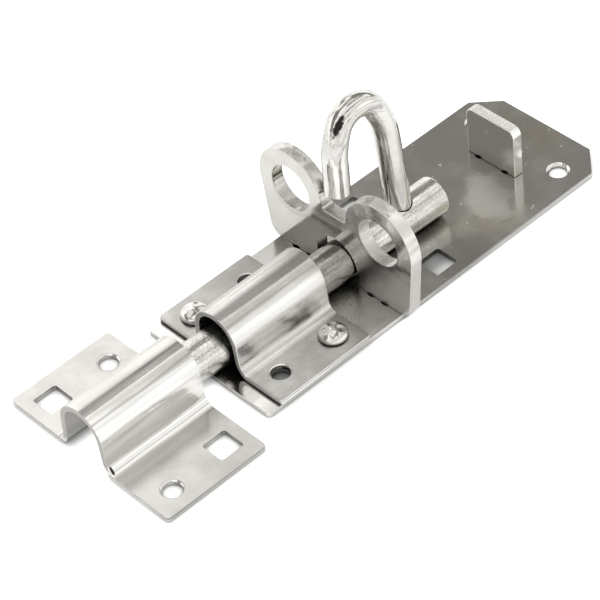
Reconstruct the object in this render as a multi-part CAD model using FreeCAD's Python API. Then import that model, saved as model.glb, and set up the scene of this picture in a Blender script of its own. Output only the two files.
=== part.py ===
import FreeCAD, Part
import math
import os

from FreeCAD import Vector

os.makedirs("parts", exist_ok=True)

# A padbolt with its keep. Millimetres. The origin is the middle of the back plate's rear face,
# +X runs along the bolt towards the keep and +Z stands out from the door.

# Back plate
plate_length = 200.0
plate_width = 72.5
plate_thickness = 2.3
plate_clip = 11.0
plate_corner_radius = 2.0
end_hole_radius = 4.0
end_hole_rim = 1.1
end_hole_inset = 18.9
end_hole_spacing = 48.2
square_side = 11.7
square_corner_radius = 1.0
plate_square_from_end = 93.4
plate_square_spacing = 50.0
plate_end = -plate_length / 2

# Upright plates staked through the back plate
stake_clearance = 0.1
stake_relief = 0.9
stop_face_from_end = 34.6
stop_thickness = 5.0
stop_width = 27.4
stop_height = 24.7
stop_corner_radius = 3.6
stop_tab_width = 19.0
ears_setback = 74.4
ears_face_from_end = plate_length - ears_setback
ears_thickness = 6.0
ear_radius = 18.8
ear_eye_radius = 10.9
ear_centre_spacing = 50.8
ear_centre_height = 33.0
ears_web_height = 32.3
ears_web_fillet = 1.5
ears_side_taper = 6.5
ears_foot_radius = 6.0
ears_tab_width = 12.0
ears_tab_centre = 22.2
ears_arch_side_gap = 2.8
ears_arch_offset = -0.8
ears_arch_top_gap = 1.8

# Bolt rod
rod_diameter = 17.6
rod_tail_behind_ears = 55.1
rod_tail_from_end = ears_face_from_end - rod_tail_behind_ears
rod_reach = 22.0
rod_edge = 1.0
rod_nose_edge = 1.6
rod_running_gap = 0.2
rod_skew = 1.3
rod_skew_centre_from_end = 180.0
rod_length = plate_length - rod_tail_from_end + rod_reach
rod_radius = rod_diameter / 2
rod_axis_height = plate_thickness + rod_running_gap + rod_radius

# Hook: a bent bar. One leg stands on the rod, the other ends free above the web of the ears.
hook_bar_diameter = 11.0
hook_leg_from_tail = 20.3
hook_half_span = 14.1
hook_spring_height = 42.3
hook_crown_rise = 23.0
hook_crown_radius = 10.8
hook_free_splay = 6.5
hook_free_end_height = 30.4
hook_end_chamfer = 1.5
hook_lean = 6.3
hook_foot_gap = 0.1

# Saddle and keep: straps pressed from the same sheet
sheet = 2.5
strap_corner_radius = 1.5
hump_side_gap = 1.2
hump_splay = 4.0
hump_foot_radius = 7.5
saddle_length = 50.0
saddle_setback = 6.5
saddle_overhang = 0.5
saddle_width = plate_width + 2 * saddle_overhang
saddle_start = plate_end + plate_length - saddle_setback - saddle_length
saddle_hump_height = 23.7
saddle_hole_inset = 11.3
saddle_hole_spacing = 49.0
saddle_hole_radius = 4.1
saddle_hole_rim = 0.5
keep_gap = 11.8
keep_length = 51.4
keep_width = 95.0
keep_hump_offset = -0.6
keep_hole_inset = 11.4
keep_square_spacing = 69.6
keep_left_hole_offset = 34.2
keep_right_hole_offset = 37.0
keep_hole_radius = 4.2
keep_hole_rim = 0.6

# Rivets of the saddle
rivet_inset = 10.5
rivet_spacing = 51.0
rivet_head_radius = 6.5
rivet_head_height = 3.8
rivet_head_edge = 1.2
rivet_shank_radius = 3.0
rivet_hole_clearance = 0.1


def polar(centre_y, centre_z, radius, degrees, x):
    angle = math.radians(degrees)
    return Vector(x, centre_y + radius * math.cos(angle), centre_z + radius * math.sin(angle))


def arc_edge(centre_y, centre_z, radius, start, end, x):
    middle = (start + end) / 2
    points = [polar(centre_y, centre_z, radius, angle, x) for angle in (start, middle, end)]
    return Part.Arc(*points).toShape()


def joined_profile(edges):
    # Adds the straight lines that close the gaps between the given edges, in their order.
    closed = []
    for index, edge in enumerate(edges):
        following = edges[(index + 1) % len(edges)]
        closed.append(edge)
        start = edge.Vertexes[-1].Point
        end = following.Vertexes[0].Point
        if start.distanceToPoint(end) > 1e-6:
            closed.append(Part.LineSegment(start, end).toShape())
    return Part.Face(Part.Wire(closed))


def straight(start, end):
    return Part.LineSegment(start, end).toShape()


def round_hole(x, y, bottom, top, radius, rim):
    # A punched hole whose upper edge is drawn in by the punch.
    hole = Part.makeCylinder(radius, top - bottom, Vector(x, y, bottom))
    mouth = Part.makeCone(radius, radius + rim, rim, Vector(x, y, top - rim))
    return hole.fuse(mouth)


def upright_edges(solid, corners):
    # The vertical edges that stand over the given x, y corners.
    found = []
    for edge in solid.Edges:
        ends = [vertex.Point for vertex in edge.Vertexes]
        if len(ends) == 2 and Vector(ends[0].x, ends[0].y, 0).distanceToPoint(
                Vector(ends[1].x, ends[1].y, 0)) < 1e-6:
            here = Vector(ends[0].x, ends[0].y, 0)
            if any(here.distanceToPoint(Vector(x, y, 0)) < 1e-3 for x, y in corners):
                found.append(edge)
    return found


def square_hole(x, y, bottom, top):
    half = square_side / 2
    block = Part.makeBox(square_side, square_side, top - bottom, Vector(x - half, y - half, bottom))
    corners = [(x + dx, y + dy) for dx in (-half, half) for dy in (-half, half)]
    return block.makeFillet(square_corner_radius, upright_edges(block, corners))


def stake_slot(front_x, thickness, centre_y, width):
    # The slot that a staked tab passes through, with a round relief at each end.
    gap = stake_clearance
    rear_x = front_x - thickness
    slot = Part.makeBox(thickness + 2 * gap, width + 2 * gap, plate_thickness,
                        Vector(rear_x - gap, centre_y - width / 2 - gap, 0))
    relief_radius = thickness / 2 + stake_relief
    for side in (-1, 1):
        end_y = centre_y + side * (width / 2 - relief_radius / 2)
        relief = Part.makeCylinder(relief_radius, plate_thickness,
                                   Vector(front_x - thickness / 2, end_y, 0))
        slot = slot.fuse(relief)
    return slot


def saddle_hole_places():
    rear = saddle_start + saddle_hole_inset
    front = saddle_start + saddle_length - saddle_hole_inset
    return [(rear, -saddle_hole_spacing / 2), (front, saddle_hole_spacing / 2)]


def rivet_places():
    rear = saddle_start + rivet_inset
    front = saddle_start + saddle_length - rivet_inset
    return [(rear, rivet_spacing / 2), (front, -rivet_spacing / 2)]


def ears_tab_places():
    return (-ears_tab_centre, ears_tab_centre)


def make_back_plate():
    half = plate_width / 2
    far = plate_end
    near = plate_end + plate_length
    outline = [Vector(far, -half + plate_clip, 0), Vector(far + plate_clip, -half, 0),
               Vector(near, -half, 0), Vector(near, half, 0),
               Vector(far + plate_clip, half, 0), Vector(far, half - plate_clip, 0)]
    face = Part.Face(Part.makePolygon(outline + outline[:1]))
    plate = face.extrude(Vector(0, 0, plate_thickness))
    near_corners = upright_edges(plate, [(near, -half), (near, half)])
    plate = plate.makeFillet(plate_corner_radius, near_corners)

    cuts = []
    for side in (-1, 1):
        cuts.append(round_hole(far + end_hole_inset, side * end_hole_spacing / 2,
                               0, plate_thickness, end_hole_radius, end_hole_rim))
        cuts.append(square_hole(far + plate_square_from_end, side * plate_square_spacing / 2,
                                0, plate_thickness))
    cuts.append(stake_slot(plate_end + stop_face_from_end, stop_thickness, 0, stop_tab_width))
    for centre_y in ears_tab_places():
        cuts.append(stake_slot(plate_end + ears_face_from_end, ears_thickness,
                               centre_y, ears_tab_width))

    for x, y in saddle_hole_places():
        cuts.append(Part.makeCylinder(saddle_hole_radius, plate_thickness, Vector(x, y, 0)))
    for x, y in rivet_places():
        cuts.append(Part.makeCylinder(rivet_shank_radius + rivet_hole_clearance, plate_thickness,
                                      Vector(x, y, 0)))
    return plate.cut(cuts)


def make_end_stop():
    front = plate_end + stop_face_from_end
    rear = front - stop_thickness
    half = stop_width / 2
    top = plate_thickness + stop_height
    radius = stop_corner_radius
    corners = [arc_edge(half - radius, top - radius, radius, 0, 90, rear),
               arc_edge(radius - half, top - radius, radius, 90, 180, rear),
               straight(Vector(rear, -half, plate_thickness), Vector(rear, half, plate_thickness))]
    blade = joined_profile(corners).extrude(Vector(stop_thickness, 0, 0))
    tab = Part.makeBox(stop_thickness, stop_tab_width, plate_thickness,
                       Vector(rear, -stop_tab_width / 2, 0))
    return blade.fuse(tab).removeSplitter()


def make_ears_plate():
    front = plate_end + ears_face_from_end
    rear = front - ears_thickness
    base = plate_thickness
    centre_y = ear_centre_spacing / 2
    centre_z = base + ear_centre_height
    web_z = base + ears_web_height
    taper = math.radians(ears_side_taper)

    # Foot: a round corner between the tapering side and the back plate.
    foot = ears_foot_radius
    side_y = centre_y + ear_radius * math.cos(taper)
    side_z = centre_z - ear_radius * math.sin(taper)
    foot_z = base + foot
    foot_y = side_y + ((foot_z - side_z) * math.sin(taper) - foot) / math.cos(taper)

    # Fillet where the ear runs into the web.
    fillet = ears_web_fillet
    fillet_z = web_z + fillet
    reach = ear_radius + fillet
    fillet_y = centre_y - math.sqrt(reach ** 2 - (fillet_z - centre_z) ** 2)
    meeting = math.degrees(math.atan2(fillet_z - centre_z, fillet_y - centre_y))

    # Arch over the rod, open to the back plate.
    arch = rod_radius + ears_arch_side_gap
    arch_z = rod_axis_height + rod_radius + ears_arch_top_gap - arch
    arch_left = ears_arch_offset - arch
    arch_right = ears_arch_offset + arch

    right = [arc_edge(foot_y, foot_z, foot, -90, -ears_side_taper, rear),
             arc_edge(centre_y, centre_z, ear_radius, -ears_side_taper, meeting, rear),
             arc_edge(fillet_y, fillet_z, fillet, meeting - 180, -90, rear)]
    left = [arc_edge(-fillet_y, fillet_z, fillet, -90, -meeting, rear),
            arc_edge(-centre_y, centre_z, ear_radius, 180 - meeting, 180 + ears_side_taper, rear),
            arc_edge(-foot_y, foot_z, foot, 180 + ears_side_taper, 270, rear)]
    opening = [straight(Vector(rear, arch_left, base), Vector(rear, arch_left, arch_z)),
               arc_edge(ears_arch_offset, arch_z, arch, 180, 0, rear),
               straight(Vector(rear, arch_right, arch_z), Vector(rear, arch_right, base))]
    blank = joined_profile(right + left + opening).extrude(Vector(ears_thickness, 0, 0))

    along = Vector(1, 0, 0)
    for side in (-1, 1):
        eye = Part.makeCylinder(ear_eye_radius, ears_thickness,
                                Vector(rear, side * centre_y, centre_z), along)
        blank = blank.cut(eye)
    for tab_y in ears_tab_places():
        tab = Part.makeBox(ears_thickness, ears_tab_width, plate_thickness,
                           Vector(rear, tab_y - ears_tab_width / 2, 0))
        blank = blank.fuse(tab)
    return blank.removeSplitter()


def make_bolt_rod():
    # Turned about its axis: a small chamfer at the tail, a longer one at the nose.
    tail = plate_end + rod_tail_from_end
    nose = tail + rod_length
    steps = [(tail, 0), (tail, rod_radius - rod_edge), (tail + rod_edge, rod_radius),
             (nose - rod_nose_edge, rod_radius), (nose, rod_radius - rod_nose_edge), (nose, 0)]
    points = [Vector(x, 0, rod_axis_height + radius) for x, radius in steps]
    half_section = Part.Face(Part.makePolygon(points + points[:1]))
    rod = half_section.revolve(Vector(tail, 0, rod_axis_height), Vector(1, 0, 0), 360)
    return skewed(rod)


def skewed(shape):
    # The bolt lies a little askew in the slack of its guides.
    pivot = Vector(plate_end + rod_skew_centre_from_end, 0, 0)
    shape.rotate(pivot, Vector(0, 0, 1), -rod_skew)
    return shape


def hook_arc(centre_x, centre_h, radius, start, end):
    # An arc of the hook's centre line, in its own upright plane over the rod's axis.
    points = []
    for angle in (start, (start + end) / 2, end):
        turn = math.radians(angle)
        points.append(Vector(centre_x + radius * math.cos(turn), 0,
                             rod_axis_height + centre_h + radius * math.sin(turn)))
    return Part.Arc(*points).toShape()


def make_padlock_hook():
    # The crown is a three-centred arch: two long side arcs and a tighter one at the top.
    leg_x = plate_end + rod_tail_from_end + hook_leg_from_tail
    middle_x = leg_x + hook_half_span
    crown = hook_crown_radius
    lift = hook_crown_rise - crown
    spread = hook_half_span - crown
    side = crown + (lift ** 2 + spread ** 2) / (2 * spread)
    shift = side - hook_half_span
    meeting = math.degrees(math.atan2(lift, shift))
    spring = hook_spring_height

    rear_arc = hook_arc(middle_x + shift, spring, side, 180, 180 - meeting)
    top_arc = hook_arc(middle_x, spring + lift, crown, 180 - meeting, meeting)
    front_arc = hook_arc(middle_x - shift, spring, side, meeting, hook_free_splay)
    foot = Vector(leg_x, 0, rod_axis_height + rod_radius / 2)
    rear_leg = straight(foot, rear_arc.Vertexes[0].Point)

    splay = math.radians(hook_free_splay)
    bend_end = front_arc.Vertexes[-1].Point
    free_z = rod_axis_height + hook_free_end_height
    run = (bend_end.z - free_z) / math.cos(splay)
    free_end = bend_end + Vector(math.sin(splay), 0, -math.cos(splay)) * run
    free_leg = straight(bend_end, free_end)

    spine = Part.Wire([rear_leg, rear_arc, top_arc, front_arc, free_leg])
    ring = Part.Wire(Part.makeCircle(hook_bar_diameter / 2, foot, Vector(0, 0, 1)))
    bar = spine.makePipeShell([ring], True, False)

    tip_edges = [edge for edge in bar.Edges
                 if edge.Closed and edge.CenterOfMass.distanceToPoint(free_end) < 1e-3]
    bar = bar.makeChamfer(hook_end_chamfer, tip_edges)

    # The foot is coped to the rod's round top.
    seat = Part.makeCylinder(rod_radius + hook_foot_gap, 4 * hook_bar_diameter,
                             Vector(leg_x - 2 * hook_bar_diameter, 0, rod_axis_height),
                             Vector(1, 0, 0))
    bar = bar.cut(seat)
    bar.rotate(Vector(leg_x, 0, rod_axis_height), Vector(1, 0, 0), hook_lean)
    return skewed(bar)


def hump_profile(x, width, base, height, middle):
    # The strap's section: two flanges, two feet and a round hump over the rod.
    splay = math.radians(hump_splay)
    inner = rod_radius + hump_side_gap
    centre_z = base + height - inner
    start_y = inner * math.cos(splay)
    start_z = centre_z + inner * math.sin(splay)
    foot = hump_foot_radius
    foot_z = base + foot
    leg_z = base + foot * (1 - math.sin(splay))
    leg_y = start_y + (start_z - leg_z) * math.tan(splay)
    left_y = middle - leg_y - foot * math.cos(splay)
    right_y = middle + leg_y + foot * math.cos(splay)
    half = width / 2
    tip = 180 + hump_splay

    edges = [straight(Vector(x, half, base + sheet), Vector(x, half, base)),
             arc_edge(right_y, foot_z, foot, 270, tip, x),
             arc_edge(middle, centre_z, inner, hump_splay, 180 - hump_splay, x),
             arc_edge(left_y, foot_z, foot, -hump_splay, -90, x),
             straight(Vector(x, -half, base), Vector(x, -half, base + sheet)),
             arc_edge(left_y, foot_z, foot - sheet, -90, -hump_splay, x),
             arc_edge(middle, centre_z, inner + sheet, 180 - hump_splay, hump_splay, x),
             arc_edge(right_y, foot_z, foot - sheet, tip, 270, x)]
    return joined_profile(edges)


def make_strap(start_x, length, width, base, height, middle):
    strap = hump_profile(start_x, width, base, height, middle).extrude(Vector(length, 0, 0))
    half = width / 2
    corners = [(x, y) for x in (start_x, start_x + length) for y in (-half, half)]
    return strap.makeFillet(strap_corner_radius, upright_edges(strap, corners))


def make_saddle():
    base = plate_thickness
    saddle = make_strap(saddle_start, saddle_length, saddle_width, base, saddle_hump_height, 0)
    cuts = []
    for x, y in saddle_hole_places():
        cuts.append(round_hole(x, y, base, base + sheet, saddle_hole_radius, saddle_hole_rim))
    for x, y in rivet_places():
        cuts.append(Part.makeCylinder(rivet_shank_radius + rivet_hole_clearance, sheet,
                                      Vector(x, y, base)))
    return saddle.cut(cuts)


def make_rivet(x, y):
    # Pan head on the saddle's flange, shank closed flush with the plate's rear face.
    seat = plate_thickness + sheet
    top = seat + rivet_head_height
    steps = [(0, 0), (rivet_shank_radius, 0), (rivet_shank_radius, seat), (rivet_head_radius, seat),
             (rivet_head_radius, top - rivet_head_edge), (rivet_head_radius - rivet_head_edge, top),
             (0, top)]
    points = [Vector(radius, 0, z) for radius, z in steps]
    half_section = Part.Face(Part.makePolygon(points + points[:1]))
    rivet = half_section.revolve(Vector(0, 0, 0), Vector(0, 0, 1), 360)
    rivet.translate(Vector(x, y, 0))
    return rivet


def make_saddle_rivets():
    return Part.makeCompound([make_rivet(x, y) for x, y in rivet_places()])


def make_keep():
    start = plate_end + plate_length + keep_gap
    keep = make_strap(start, keep_length, keep_width, 0, saddle_hump_height + plate_thickness,
                      keep_hump_offset)
    rear = start + keep_hole_inset
    front = start + keep_length - keep_hole_inset
    square = keep_square_spacing / 2
    cuts = [round_hole(rear, -keep_left_hole_offset, 0, sheet, keep_hole_radius, keep_hole_rim),
            round_hole(front, keep_right_hole_offset, 0, sheet, keep_hole_radius, keep_hole_rim),
            square_hole(front, -square, 0, sheet),
            square_hole(rear, square, 0, sheet)]
    return keep.cut(cuts)


pieces = {"back_plate": make_back_plate(),
          "end_stop": make_end_stop(),
          "ears_plate": make_ears_plate(),
          "bolt_rod": make_bolt_rod(),
          "padlock_hook": make_padlock_hook(),
          "saddle": make_saddle(),
          "saddle_rivets": make_saddle_rivets(),
          "keep": make_keep()}

for name, shape in pieces.items():
    shape.exportStep("parts/" + name + ".step")
    box = shape.BoundBox
    print(name, len(shape.Solids), "solids, valid", shape.isValid(), "volume %.0f" % shape.Volume,
          "x %.1f..%.1f y %.1f..%.1f z %.1f..%.1f" % (box.XMin, box.XMax, box.YMin, box.YMax,
                                                     box.ZMin, box.ZMax))
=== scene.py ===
import math

import bmesh
import bpy
from mathutils import Matrix, Vector


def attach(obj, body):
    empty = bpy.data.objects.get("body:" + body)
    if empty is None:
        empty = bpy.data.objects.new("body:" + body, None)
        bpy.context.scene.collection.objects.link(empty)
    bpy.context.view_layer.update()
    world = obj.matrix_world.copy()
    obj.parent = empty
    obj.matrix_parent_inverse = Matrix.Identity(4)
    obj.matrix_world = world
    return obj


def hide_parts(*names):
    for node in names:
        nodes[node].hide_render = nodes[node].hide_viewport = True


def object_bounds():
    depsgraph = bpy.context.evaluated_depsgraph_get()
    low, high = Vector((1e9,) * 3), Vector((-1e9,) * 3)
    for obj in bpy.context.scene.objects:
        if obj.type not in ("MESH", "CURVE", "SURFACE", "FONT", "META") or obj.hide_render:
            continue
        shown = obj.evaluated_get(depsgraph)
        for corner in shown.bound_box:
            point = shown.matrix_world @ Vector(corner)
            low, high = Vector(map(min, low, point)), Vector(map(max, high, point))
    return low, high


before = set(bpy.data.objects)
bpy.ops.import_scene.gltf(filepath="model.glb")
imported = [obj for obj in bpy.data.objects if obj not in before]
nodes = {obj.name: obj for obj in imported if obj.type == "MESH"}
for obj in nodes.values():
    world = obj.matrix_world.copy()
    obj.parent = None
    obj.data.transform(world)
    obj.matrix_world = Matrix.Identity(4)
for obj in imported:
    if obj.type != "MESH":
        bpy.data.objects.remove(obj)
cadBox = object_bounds()
print("frame loaded")


# small helpers for node trees
def addNode(tree, kind, **settings):
    node = tree.nodes.new(kind)
    for name, value in settings.items():
        setattr(node, name, value)
    return node


def plug(tree, value, socket):
    if isinstance(value, bpy.types.NodeSocket):
        tree.links.new(value, socket)
    else:
        socket.default_value = value


def maths(tree, operation, *values):
    node = addNode(tree, "ShaderNodeMath", operation=operation)
    for index, value in enumerate(values):
        plug(tree, value, node.inputs[index])
    return node.outputs[0]


def times(tree, first, *others):
    for other in others:
        first = maths(tree, "MULTIPLY", first, other)
    return first


def positive(tree, value):
    return maths(tree, "ABSOLUTE", value)


def apart(tree, first, second):
    return positive(tree, maths(tree, "SUBTRACT", first, second))


# a soft rise over a span, from nothing or a start to the full depth
def rise(tree, value, span, depth=1.0, start=0.0):
    node = addNode(tree, "ShaderNodeMapRange", interpolation_type="SMOOTHSTEP")
    names = ("Value", "From Min", "From Max", "To Min", "To Max")
    for name, number in zip(names, (value, *span, start, depth)):
        plug(tree, number, node.inputs[name])
    return node.outputs[0]


# a soft fall over a span, from the full depth to nothing or an end
def fall(tree, value, span, depth=1.0, end=0.0):
    return rise(tree, value, span, end, depth)


def axes(tree, vector):
    node = addNode(tree, "ShaderNodeSeparateXYZ")
    plug(tree, vector, node.inputs[0])
    return node.outputs


def mixColour(tree, factor, first, second):
    node = addNode(tree, "ShaderNodeMix", data_type="RGBA")
    plug(tree, factor, node.inputs[0])
    plug(tree, first, node.inputs[6])
    plug(tree, second, node.inputs[7])
    return node.outputs[2]


def ramp(tree, value, stops):
    node = addNode(tree, "ShaderNodeValToRGB")
    node.color_ramp.interpolation = "EASE"
    elements = node.color_ramp.elements
    while len(elements) < len(stops):
        elements.new(0.5)
    for element, (place, level) in zip(elements, stops):
        element.position = place
        element.color = (level, level, level, 1)
    plug(tree, value, node.inputs[0])
    return node.outputs[0]


def noise(tree, vector, scale, detail=2.0, roughness=0.5):
    node = addNode(tree, "ShaderNodeTexNoise")
    plug(tree, vector, node.inputs["Vector"])
    plug(tree, scale, node.inputs["Scale"])
    node.inputs["Detail"].default_value = detail
    node.inputs["Roughness"].default_value = roughness
    return node.outputs["Fac"]


def scaled(tree, vector, scale):
    node = addNode(tree, "ShaderNodeVectorMath", operation="MULTIPLY")
    plug(tree, vector, node.inputs[0])
    plug(tree, scale, node.inputs[1])
    return node.outputs[0]


def bumped(tree, height, distance, normal=None):
    node = addNode(tree, "ShaderNodeBump")
    node.inputs["Distance"].default_value = distance
    node.inputs["Strength"].default_value = 1.0
    plug(tree, height, node.inputs["Height"])
    if normal is not None:
        plug(tree, normal, node.inputs["Normal"])
    return node.outputs[0]


# an oval spot with a ragged rim
def raggedSpot(tree, vector, spot, depth=1.0):
    turned = addNode(tree, "ShaderNodeMapping", vector_type="TEXTURE")
    turned.inputs["Location"].default_value = spot["place"]
    turned.inputs["Rotation"].default_value = spot["turn"]
    turned.inputs["Scale"].default_value = spot["size"]
    plug(tree, vector, turned.inputs["Vector"])
    reach = addNode(tree, "ShaderNodeVectorMath", operation="LENGTH")
    plug(tree, turned.outputs[0], reach.inputs[0])
    grain = noise(tree, vector, spot["grain"], spot["detail"], spot["grit"])
    ragged = maths(tree, "MULTIPLY_ADD", grain, spot["tear"], reach.outputs["Value"])
    return fall(tree, ragged, spot["rim"], depth)


# the camera stands as in the picture
camera = {"place": (0.53821, 0.61016, 0.74645), "aim": (0.04541, -0.00351, 0.0),
          "roll": -7.093, "lens": 158.43, "sensor": 36.0, "clipStart": 0.01}


def makeCamera():
    data = bpy.data.cameras.new("camera")
    data.lens = camera["lens"]
    data.sensor_width = camera["sensor"]
    data.clip_start = camera["clipStart"]
    view = bpy.data.objects.new("camera", data)
    bpy.context.collection.objects.link(view)
    place = Vector(camera["place"])
    turn = (Vector(camera["aim"]) - place).to_track_quat("-Z", "Y").to_matrix().to_4x4()
    view.matrix_world = (Matrix.Translation(place) @ turn
                         @ Matrix.Rotation(math.radians(camera["roll"]), 4, "Z"))
    bpy.context.scene.camera = view


# the walls of the studio: bright in bands round the bolt's axis, with a dark gap high at each end
walls = {"tint": (1.0, 0.99, 0.968, 1), "darkTint": (1.0, 0.965, 0.9, 1), "tintLevels": (0.15, 0.9),
         # angle round the bolt's axis (0 right, 90 overhead, 180 left) and level
         "bands": ((-180, 1.1), (-4, 0.9), (4, 0.95), (9, 1.3), (15, 1.5), (21, 1.3), (28, 0.95), (34, 0.85),
                   (40, 1.3), (45, 1.1), (50, 0.55), (55, 0.6), (61, 1.25), (67, 1.2), (74, 0.95), (84, 1.3),
                   (90, 1.45), (96, 1.35), (99.5, 0.18), (103, 0.15), (107, 1.0), (111.5, 1.05),
                   (115.5, 0.16), (119, 0.16), (122, 0.5), (127, 1.3), (131, 1.45), (137, 1.5), (155, 1.5),
                   (180, 1.3)),
         "brightest": 2.0,
         "gapLevel": 0.32, "gapRear": (-0.475, -0.41), "gapFront": (0.12, 0.34),
         "gapStart": (90, 104), "gapEnd": (138, 152)}


def makeWalls():
    world = bpy.data.worlds.new("studio")
    world.use_nodes = True
    bpy.context.scene.world = world
    tree = world.node_tree
    tree.nodes.clear()
    x, y, z = axes(tree, addNode(tree, "ShaderNodeTexCoord").outputs["Generated"])
    angle = maths(tree, "DEGREES", maths(tree, "ARCTAN2", z, y))
    place = maths(tree, "MULTIPLY_ADD", angle, 1 / 360, 0.5)
    bands = ramp(tree, place, [(degrees / 360 + 0.5, level / walls["brightest"])
                               for degrees, level in walls["bands"]])
    level = times(tree, bands, walls["brightest"])
    ends = maths(tree, "MAXIMUM", fall(tree, x, walls["gapRear"]), rise(tree, x, walls["gapFront"]))
    gap = times(tree, rise(tree, angle, walls["gapStart"]), fall(tree, angle, walls["gapEnd"]), ends)
    level = maths(tree, "MULTIPLY_ADD", maths(tree, "SUBTRACT", walls["gapLevel"], level), gap, level)
    shown = addNode(tree, "ShaderNodeBackground")
    plug(tree, mixColour(tree, rise(tree, level, walls["tintLevels"]), walls["darkTint"], walls["tint"]),
         shown.inputs["Color"])
    plug(tree, level, shown.inputs["Strength"])
    # the camera itself sees plain white
    white = addNode(tree, "ShaderNodeBackground")
    white.inputs["Color"].default_value = (1, 1, 1, 1)
    pick = addNode(tree, "ShaderNodeMixShader")
    plug(tree, addNode(tree, "ShaderNodeLightPath").outputs["Is Camera Ray"], pick.inputs[0])
    plug(tree, shown.outputs[0], pick.inputs[1])
    plug(tree, white.outputs[0], pick.inputs[2])
    plug(tree, pick.outputs[0], addNode(tree, "ShaderNodeOutputWorld").inputs[0])


ground = {"size": 8.0, "gap": 0.0002, "colour": (0.86, 0.86, 0.853, 1), "show": 0.9, "gloss": 0.5,
          # the contact shadow, and the deeper shade under the middle of the back plate
          "shadow": (0.02, 0.02, 0.019, 1), "shadowReach": 0.0045, "shadowPower": 1.1, "shadeDepth": 0.82,
          "shadeFrom": (-0.05, -0.03), "shadeTo": (0.09, 0.1), "shadeAcross": (0.023, 0.036),
          # the ears reach past the plate there and throw no shadow that shows
          "clearAt": 0.0226, "clearAlong": (0.012, 0.02), "clearAcross": (0.0362, 0.038), "clearDepth": 0.9,
          # what the metal mirrors of the floor: soft stripes beside the bolt, by distance from it
          "stripeHalf": 0.15,
          "stripes": ((0.0, 0.9), (0.18, 1.0), (0.26, 0.62), (0.34, 0.95), (0.42, 1.05), (0.5, 0.66),
                      (0.6, 0.9), (0.7, 1.05), (0.84, 0.8), (1.0, 0.95))}


def makeFloor():
    bpy.ops.mesh.primitive_plane_add(size=ground["size"], location=(0, 0, 0))
    floor = bpy.context.object
    floor.name = "floor"
    floor.location.z = cadBox[0][2] - ground["gap"]
    material = bpy.data.materials.new("floorPaper")
    material.use_nodes = True
    tree = material.node_tree
    tree.nodes.clear()
    x, y = axes(tree, addNode(tree, "ShaderNodeTexCoord").outputs["Object"])[:2]
    across = positive(tree, y)
    shade = times(tree, rise(tree, x, ground["shadeFrom"]), fall(tree, x, ground["shadeTo"]),
                  fall(tree, across, ground["shadeAcross"]))
    lit = maths(tree, "MULTIPLY_ADD", shade, -ground["shadeDepth"], 1.0)
    contact = addNode(tree, "ShaderNodeAmbientOcclusion", samples=8)
    contact.inputs["Distance"].default_value = ground["shadowReach"]
    lit = times(tree, lit, maths(tree, "POWER", contact.outputs["AO"], ground["shadowPower"]))
    along = apart(tree, x, ground["clearAt"])
    clear = times(tree, fall(tree, along, ground["clearAlong"], ground["clearDepth"]),
                  rise(tree, across, ground["clearAcross"]))
    lit = maths(tree, "MULTIPLY_ADD", maths(tree, "SUBTRACT", 1.0, lit), clear, lit)
    rays = addNode(tree, "ShaderNodeLightPath").outputs
    seen = rays["Is Camera Ray"]
    mirrored = maths(tree, "MAXIMUM", rays["Is Glossy Ray"], rays["Is Transmission Ray"])
    beside = maths(tree, "MAXIMUM", y, 0.0)
    share = maths(tree, "DIVIDE", beside, maths(tree, "ADD", beside, ground["stripeHalf"]))
    striped = maths(tree, "SUBTRACT", ramp(tree, share, ground["stripes"]), 1.0)
    lit = times(tree, lit, maths(tree, "MULTIPLY_ADD", mirrored, striped, 1.0))
    dark = times(tree, maths(tree, "SUBTRACT", 1.0, lit), maths(tree, "MAXIMUM", seen, mirrored))
    paper = addNode(tree, "ShaderNodeBsdfDiffuse")
    plug(tree, mixColour(tree, dark, ground["colour"], ground["shadow"]), paper.inputs["Color"])
    glow = addNode(tree, "ShaderNodeEmission")
    shown = times(tree, seen, ground["show"], lit)
    plug(tree, maths(tree, "MULTIPLY_ADD", times(tree, mirrored, lit), ground["gloss"], shown),
         glow.inputs["Strength"])
    both = addNode(tree, "ShaderNodeAddShader")
    plug(tree, paper.outputs[0], both.inputs[0])
    plug(tree, glow.outputs[0], both.inputs[1])
    plug(tree, both.outputs[0], addNode(tree, "ShaderNodeOutputMaterial").inputs["Surface"])
    floor.data.materials.append(material)


def newGroup(name, inputs, outputs):
    group = bpy.data.node_groups.new(name, "ShaderNodeTree")
    for label, kind, value in inputs:
        socket = group.interface.new_socket(label, in_out="INPUT", socket_type="NodeSocket" + kind)
        socket.default_value = value
    for label in outputs:
        group.interface.new_socket(label, in_out="OUTPUT", socket_type="NodeSocketFloat")
    return group, group.nodes.new("NodeGroupInput").outputs, group.nodes.new("NodeGroupOutput").inputs


def useGroup(tree, group, **values):
    node = addNode(tree, "ShaderNodeGroup", node_tree=group)
    for label, value in values.items():
        plug(tree, value, node.inputs[label])
    return node.outputs


# the spans that cut the shared masks out of their noise and out of the shade in the corners
masks = {"cloud": (0.36, 0.64), "speck": (0.6, 0.72), "grimeAndShade": (0.42, 0.72), "grimeAndShadeSamples": 6,
         "deep": (0.06, 0.45), "deepSamples": 4}


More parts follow.
